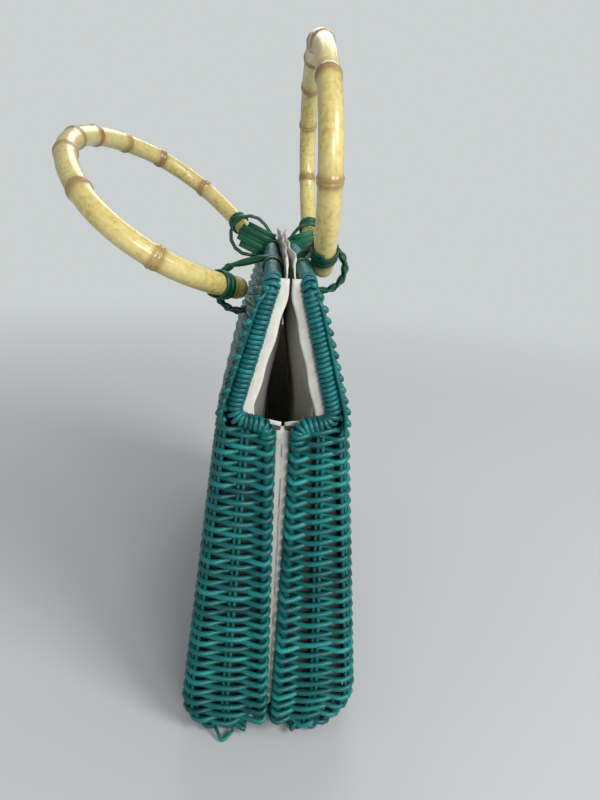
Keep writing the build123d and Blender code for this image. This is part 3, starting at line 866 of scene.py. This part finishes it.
def lining(half, material, reverse_painted_shade):
    side = SIDE[half]
    rng = random.Random(3 if half == "front" else 5)
    phases = [rng.uniform(0, 6.28) for _ in range(7)]
    verts, faces, cloth = [], [], []
    columns = np.linspace(0, STATIONS, STATIONS * STATION_STEPS + 1)

    def fold(s, z):
        """Soft upright folds, which fade out towards the floor."""
        height = smooth(20, 110, z)
        wave = math.sin(s / 9.0 + phases[0]) + 0.6 * math.sin(s / 5.3 + phases[1] + z / 60)
        wave += 0.5 * math.sin(s / 17.0 + phases[2] - z / 45)
        return 0.45 * (wave + 1.6) * lerp(0.3, 1.0, height)

    def add_vertex(point, u, v):
        verts.append(point)
        cloth.append((u, v))
        return len(verts) - 1

    def hang(x, y, z):
        """How near the seam the loose cloth hangs away from the ends."""
        slack = smooth(60, 125, z) * (1 - smooth(50, 98, abs(x)))
        sway = 0.7 * math.sin(x / 13.0 + phases[4]) * smooth(205, 165, z)
        inner = lerp(7.6, 0.8, smooth(138, 192, z)) + sway
        return lerp(y, min(max(inner, 0.7), y), slack)

    def seam_edge(z):
        """The cloth's edge along the seam, which leaves room for the hinge near the base."""
        return lerp(LINING_FOOT_Y, 0.9, smooth(LINING_FOOT_Z, LINING_FOOT_Z + 4.0, z))

    grid = []
    run_v = 0.0
    previous = None
    for z, inset in lining_rows(FOOT_RADIUS[half]):
        x_mid, y_mid = lining_half_length(z), lining_depth(z) - inset
        seam_y = seam_edge(z)
        line = []
        for u in columns:
            x, y, nx, ny = plan(u, x_mid, y_mid, seam_y, LINING_CORNER)
            pull = fold(u * CLOTH_STEP, z) * smooth(0, 0.8, min(u, STATIONS - u))
            y_now = hang(x, y - ny * pull, z)
            climb = clamp((y_now - seam_y) / (SHOULDER_DEPTH - seam_y))
            edge = lerp(SEAM_TOP, SHOULDER_TOP, climb) - HEM_DROP
            z_now = min(z, edge) if min(u, STATIONS - u) < END_STATIONS else z
            line.append(add_vertex((x - nx * pull, y_now * side, z_now), u * CLOTH_STEP, 0.0))
        if previous is not None:
            run_v += math.hypot(z - previous[0], y_mid - previous[1])
        previous = (z, y_mid)
        for i in line:
            cloth[i] = (cloth[i][0], run_v)
        grid.append(line)
    for low, high in zip(grid, grid[1:]):
        for k in range(len(columns) - 1):
            faces.append((low[k], low[k + 1], high[k + 1], high[k]))
    upper = [k for k, u in enumerate(columns) if END_STATIONS <= u <= STATIONS - END_STATIONS]
    line = [grid[-1][k] for k in upper]
    for z in np.linspace(LINING_SPLIT, LINING_RIM_HEIGHT, 14)[1:]:
        new = []
        wavy = 1.1 * math.sin(z / 7.0 + phases[3]) * smooth(165, 190, z)
        x_top = lining_half_length(min(z, RIM_HEIGHT)) - 1.0
        for u in columns[upper]:
            x = lerp(x_top, -x_top, (u - END_STATIONS) / FACE_STATIONS)
            pull = fold(u * CLOTH_STEP, z) * (1 - smooth(190, 216, z) * 0.8)
            ripple = wavy * abs(x / x_top) ** 4 * 0.5
            top_wave = 0.5 * math.sin(x / 8.5 + phases[5]) * smooth(200, 218, z)
            y = hang(x, lining_depth(min(z, RIM_ROD_HEIGHT)) - pull - ripple, z)
            y = max(y + top_wave, 0.5)
            run = run_v + z - SHOULDER_HEIGHT
            new.append(add_vertex((x, y * side, z), u * CLOTH_STEP, run))
        for k in range(len(upper) - 1):
            faces.append((line[k], line[k + 1], new[k + 1], new[k]))
        line = new
    previous = grid[0]
    for k in range(1, 5):
        new = []
        for i in grid[0]:
            x, y, z = verts[i]
            y = lerp(abs(y), min(abs(y), LINING_FOOT_Y), k / 4)
            new.append(add_vertex((x * lerp(1.0, 0.995, k / 4), y * side, z), cloth[i][0], -k * 3.0))
        for n in range(len(new) - 1):
            faces.append((previous[n], new[n], new[n + 1], previous[n + 1]))
        previous = new
    points = np.array(verts)
    if side > 0:
        faces = [face[::-1] for face in faces]
    mesh = new_mesh(f"{half}_cloth", points, faces)
    uv = mesh.uv_layers.new(name="cloth")
    for loop in mesh.loops:
        uv.data[loop.index].uv = [v * 0.01 for v in cloth[loop.vertex_index]]
    obj = place(mesh, f"{half}_cloth", material, f"{half}_half", (f"{half}_lining",))
    skin = obj.modifiers.new("thickness", "SOLIDIFY")
    skin.thickness = CLOTH_THICKNESS * MM
    skin.offset = 0.0
    # The shell's other side, toward the reeds, takes the reverse material, which carries painted
    # shade below the rim
    mesh.materials.append(reverse_painted_shade)
    skin.material_offset = 1
    skin.material_offset_rim = 0
    hems = Strands()
    shoulder = [points[i] for i in grid[-1]]
    for path, up in (
        ([points[row[0]] for row in grid], (1.0, 0.0, 0.0)),
        ([points[row[-1]] for row in grid], (-1.0, 0.0, 0.0)),
        (shoulder[: upper[0] + 1], (1.0, 0.0, 0.0)),
        (shoulder[upper[-1]:][::-1], (-1.0, 0.0, 0.0)),
        ([points[i] for i in line], (0.0, -side, 0.2)),
    ):
        hems.add(resample(path, 3.0), up, 2.2, 0.55, 0.5, sides=8, square=0.6)
    for end_x in (1.0, -1.0):
        slant = []
        for z in np.linspace(SHOULDER_TOP - 1.0, RIM_ROD_HEIGHT + 1.0, 22):
            share = clamp((z - SHOULDER_TOP) / (RIM_ROD_HEIGHT - SHOULDER_TOP))
            rod_y = lerp(SHOULDER_DEPTH - BINDING_SETBACK - BINDING_RADIUS, RIM_BINDING_DEPTH, share)
            y = rod_y - BINDING_RADIUS - 1.6 + 0.35 * math.sin(z / 3.1 + phases[6])
            y = max(y, HEM_HALF_WIDTH + 0.4)
            slant.append((end_x * (half_length(z) - BINDING_RADIUS - 1.5), y * side, z))
        up = (end_x, 0.0, 0.1)
        hems.add(resample(slant, 2.0), up, HEM_HALF_WIDTH, 0.6, 0.5, sides=8, square=0.6)
    hem = hems.piece(f"{half}_hems", material, f"{half}_half")


# Materials


# Heights in metres between which the painted shade on the lining's reverse gives way to its plain
# colour
PAINTED_SHADE_FADE = (0.2105, 0.2125)


def material(name, colour, roughness):
    mat = bpy.data.materials.new(name)
    mat.use_nodes = True
    tree = mat.node_tree
    shader = tree.nodes["Principled BSDF"]
    shader.inputs["Base Color"].default_value = (*colour, 1.0)
    shader.inputs["Roughness"].default_value = roughness
    return mat, tree, shader


def set_input(tree, socket, value):
    if isinstance(value, bpy.types.NodeSocket):
        tree.links.new(value, socket)
    else:
        socket.default_value = value


def node(tree, kind, **values):
    """A node with its settings, and inputs that are constants or other nodes' outputs."""
    made = tree.nodes.new(kind)
    for key, value in values.items():
        if key in made.inputs:
            set_input(tree, made.inputs[key], value)
        else:
            setattr(made, key, value)
    return made


def join(tree, made, *values):
    """Sets a node's first inputs in their order and gives its first output."""
    for socket, value in zip(made.inputs, values):
        set_input(tree, socket, value)
    return made.outputs[0]


def calc(tree, operation, *values):
    return join(tree, node(tree, "ShaderNodeMath", operation=operation), *values)


def noise(tree, vector, scale, detail, **values):
    made = node(tree, "ShaderNodeTexNoise", Vector=vector, Scale=scale, Detail=detail, **values)
    return made.outputs[0]


def map_range(tree, value, low, high, start=0.0, **settings):
    """Goes from start to 1 while the value goes from low to high."""
    inputs = {"Value": value, "From Min": low, "From Max": high, "To Min": start}
    return node(tree, "ShaderNodeMapRange", **inputs, **settings).outputs[0]


def ramp(tree, level, stops):
    made = tree.nodes.new("ShaderNodeValToRGB")
    elements = made.color_ramp.elements
    while len(elements) < len(stops):
        elements.new(0.5)
    for element, (position, colour) in zip(elements, stops):
        element.position = position
        element.color = (*colour, 1.0)
    return join(tree, made, level)


def mark(tree, name):
    return node(tree, "ShaderNodeAttribute", attribute_name=name).outputs["Fac"]


def bump(tree, shader, height, strength, distance):
    made = node(tree, "ShaderNodeBump", Height=height, Strength=strength, Distance=distance)
    tree.links.new(made.outputs[0], shader.inputs["Normal"])


def reed_material(name, dark, middle, light, roughness):
    mat, tree, shader = material(name, middle, roughness)
    tone = mark(tree, "tone")
    spot = join(
        tree, node(tree, "ShaderNodeCombineXYZ"), calc(tree, "MULTIPLY", mark(tree, "along"), 0.045),
        calc(tree, "MULTIPLY", tone, 40.0), mark(tree, "around"),
    )
    patches = noise(tree, spot, 1.6, 3.0)
    stretched = node(tree, "ShaderNodeMapping", Vector=spot, Scale=(0.6, 1.0, 1.6))
    streaks = noise(tree, stretched.outputs[0], 9.0, 2.0)
    streak_share = calc(tree, "MULTIPLY_ADD", streaks, 0.3, -0.15)
    level = calc(tree, "MULTIPLY_ADD", calc(tree, "ADD", patches, tone), 0.5, streak_share)
    colour = ramp(tree, level, ((0.25, dark), (0.5, middle), (0.8, light)))
    tree.links.new(colour, shader.inputs["Base Color"])
    bump(tree, shader, streaks, 0.25, 0.0002)
    shader.inputs["Specular IOR Level"].default_value = 0.35
    shader.inputs["Coat Weight"].default_value = 0.1
    shader.inputs["Coat Roughness"].default_value = 0.3
    return mat


def bamboo_material():
    mat, tree, shader = material("bamboo_lacquered", (0.78, 0.6, 0.3), 0.3)
    spot = join(
        tree, node(tree, "ShaderNodeCombineXYZ"),
        calc(tree, "MULTIPLY", mark(tree, "along"), 0.03), mark(tree, "around"),
    )
    coords = node(tree, "ShaderNodeTexCoord")
    patches = noise(tree, coords.outputs["Object"], 42.0, 4.0, Roughness=0.55)
    streaks = noise(tree, spot, 14.0, 3.0)
    level = calc(tree, "MULTIPLY", calc(tree, "ADD", patches, streaks), 0.5)
    stops = ((0.34, (0.42, 0.3, 0.08)), (0.47, (0.62, 0.5, 0.17)), (0.62, (0.7, 0.6, 0.25)))
    body = ramp(tree, level, stops)
    speck = calc(tree, "MULTIPLY_ADD", patches, 1.3, -0.72)
    # The node mark holds the node rings' own brown and the painted shade inside the hollow leg ends
    node_and_hollow_shade = calc(tree, "MULTIPLY_ADD", mark(tree, "node"), 0.8, speck)
    mix = node(tree, "ShaderNodeMix", data_type="RGBA")
    tree.links.new(ramp(tree, node_and_hollow_shade, ((0.15, (0, 0, 0)), (0.9, (1, 1, 1)))), mix.inputs[0])
    tree.links.new(body, mix.inputs[6])
    mix.inputs[7].default_value = (0.27, 0.15, 0.045, 1.0)
    tree.links.new(mix.outputs[2], shader.inputs["Base Color"])
    bump(tree, shader, streaks, 0.2, 0.0003)
    shader.inputs["Coat Weight"].default_value = 0.45
    shader.inputs["Coat Roughness"].default_value = 0.14
    return mat


def linen_material(name, share):
    """Woven linen, whose colour below the rim is scaled down to the given share as painted shade."""
    mat, tree, shader = material(name, (0.74, 0.71, 0.64), 0.92)
    coords = node(tree, "ShaderNodeTexCoord")
    waves = [
        node(
            tree, "ShaderNodeTexWave", Vector=coords.outputs["UV"], Scale=34.0, Distortion=1.2,
            Detail=1.0, bands_direction=direction,
        ).outputs["Fac"]
        for direction in ("X", "Y")
    ]
    slubs = noise(tree, coords.outputs["Object"], 260.0, 2.0)
    height = calc(tree, "ADD", calc(tree, "MULTIPLY", *waves), slubs)
    tones = ((0.25, (0.58, 0.56, 0.5)), (0.6, (0.72, 0.7, 0.64)), (0.95, (0.8, 0.79, 0.74)))
    colour = ramp(tree, calc(tree, "MULTIPLY", height, 0.62), tones)
    split = node(tree, "ShaderNodeSeparateXYZ", Vector=coords.outputs["Object"])
    # Below the rim the colour is scaled down to the share, as painted shade
    light = map_range(tree, split.outputs["Z"], *PAINTED_SHADE_FADE, share)
    shaded = node(tree, "ShaderNodeVectorMath", operation="SCALE", Scale=light)
    tree.links.new(join(tree, shaded, colour), shader.inputs["Base Color"])
    bump(tree, shader, height, 0.5, 0.0003)
    return mat


# Stage, light and camera


BACKDROP = (0.6, 0.63, 0.63)
FLOOR_REACH = 3.0
FLOOR_FADE = (0.25, 1.1)
LAMP_AIM = (0, 0, 0.12)
SENSOR = 36.0
FOCAL_PIXELS, IMAGE_PIXELS = 600.7, 800.0
CAMERA_PLACE = (0.3487, -0.0111, 0.2493)
CAMERA_YAW, CAMERA_PITCH, CAMERA_ROLL = -4.16, 19.22, 3.83


def stage():
    r = FLOOR_REACH
    mesh = bpy.data.meshes.new("floor")
    mesh.from_pydata([(-r, -r, 0), (r, -r, 0), (r, r, 0), (-r, r, 0)], [], [(0, 1, 2, 3)])
    floor = add_object("floor", mesh)
    mat, tree, shader = material("floor_pale", (0.56, 0.57, 0.57), 0.75)
    mesh.materials.append(mat)
    coords = node(tree, "ShaderNodeTexCoord")
    far = node(tree, "ShaderNodeVectorMath", operation="LENGTH", Vector=coords.outputs["Object"])
    fade = map_range(tree, far.outputs["Value"], *FLOOR_FADE, interpolation_type="SMOOTHSTEP")
    glow = node(tree, "ShaderNodeEmission", Color=(*BACKDROP, 1.0), Strength=1.0)
    both = node(tree, "ShaderNodeMixShader")
    surface = join(tree, both, fade, shader.outputs[0], glow.outputs[0])
    tree.links.new(surface, tree.nodes["Material Output"].inputs["Surface"])
    world = bpy.data.worlds.new("studio")
    bpy.context.scene.world = world
    world.use_nodes = True
    tree = world.node_tree
    background = tree.nodes["Background"]
    background.inputs["Strength"].default_value = 0.4
    background.inputs["Color"].default_value = (0.86, 0.9, 0.96, 1.0)
    seen = node(tree, "ShaderNodeBackground", Color=(*BACKDROP, 1.0), Strength=1.0)
    rays = node(tree, "ShaderNodeLightPath").outputs
    either = calc(tree, "MAXIMUM", rays["Is Camera Ray"], rays["Is Transmission Ray"])
    blend = node(tree, "ShaderNodeMixShader")
    surface = join(tree, blend, either, background.outputs[0], seen.outputs[0])
    tree.links.new(surface, tree.nodes["World Output"].inputs["Surface"])


def lamp(name, at, size, power, colour):
    data = bpy.data.lights.new(name, "AREA")
    data.size = size
    data.energy = power
    data.color = colour
    obj = add_object(name, data)
    obj.location = at
    way = Vector(LAMP_AIM) - Vector(at)
    obj.rotation_euler = way.to_track_quat("-Z", "Y").to_euler()


def lights():
    lamp("key", (0.8, 0.95, 0.95), 0.6, 14.0, (1.0, 0.98, 0.95))
    lamp("fill", (1.35, 0.42, 0.62), 0.5, 9.0, (0.95, 0.97, 1.0))
    lamp("back", (-1.0, 0.1, 1.1), 0.8, 5.0, (1.0, 0.99, 0.97))


def camera():
    """The photograph's camera: place, heading, pitch and roll in the object's frame."""
    data = bpy.data.cameras.new("camera")
    data.sensor_fit = "AUTO"
    data.sensor_width = SENSOR
    data.lens = FOCAL_PIXELS / IMAGE_PIXELS * SENSOR
    data.clip_start = 0.01
    obj = add_object("camera", data)
    yaw, pitch, roll = map(math.radians, (CAMERA_YAW, CAMERA_PITCH, CAMERA_ROLL))
    level = math.cos(pitch)
    ahead = Vector((-math.cos(yaw) * level, -math.sin(yaw) * level, -math.sin(pitch)))
    right = ahead.cross(Vector((0, 0, 1))).normalized()
    up = right.cross(ahead)
    turned_right = right * math.cos(roll) + up * math.sin(roll)
    turned_up = up * math.cos(roll) - right * math.sin(roll)
    matrix = obj.matrix_world.copy()
    for k in range(3):
        matrix[k][0], matrix[k][1], matrix[k][2] = turned_right[k], turned_up[k], -ahead[k]
        matrix[k][3] = CAMERA_PLACE[k]
    obj.matrix_world = matrix
    bpy.context.scene.camera = obj


def main():
    bpy.context.scene.view_settings.view_transform = "Standard"
    reeds = reed_material(
        "reed_teal", (0.001, 0.04, 0.04), (0.0025, 0.11, 0.105), (0.012, 0.26, 0.24), 0.36,
    )
    wound_reed = reed_material(
        "reed_wound", (0.001, 0.04, 0.045), (0.002, 0.1, 0.105), (0.01, 0.23, 0.23), 0.34,
    )
    strap = reed_material(
        "strap_green", (0.0008, 0.04, 0.018), (0.0015, 0.078, 0.036), (0.005, 0.13, 0.062), 0.42,
    )
    bamboo = bamboo_material()
    linen = linen_material("linen_off_white", 1.0)
    # The lining's reverse is darkened below the rim as painted shade, so the gaps in the weave look
    # dark
    linen_reverse_painted_shade = linen_material("linen_reverse_painted_shade", 0.1)
    for half in ("front", "back"):
        weave(half, reeds)
        binding(half, wound_reed)
        lining(half, linen, linen_reverse_painted_shade)
        cane(half, bamboo)
        ties(half, strap)
    lashings(strap)
    stage()
    lights()
    camera()


main()
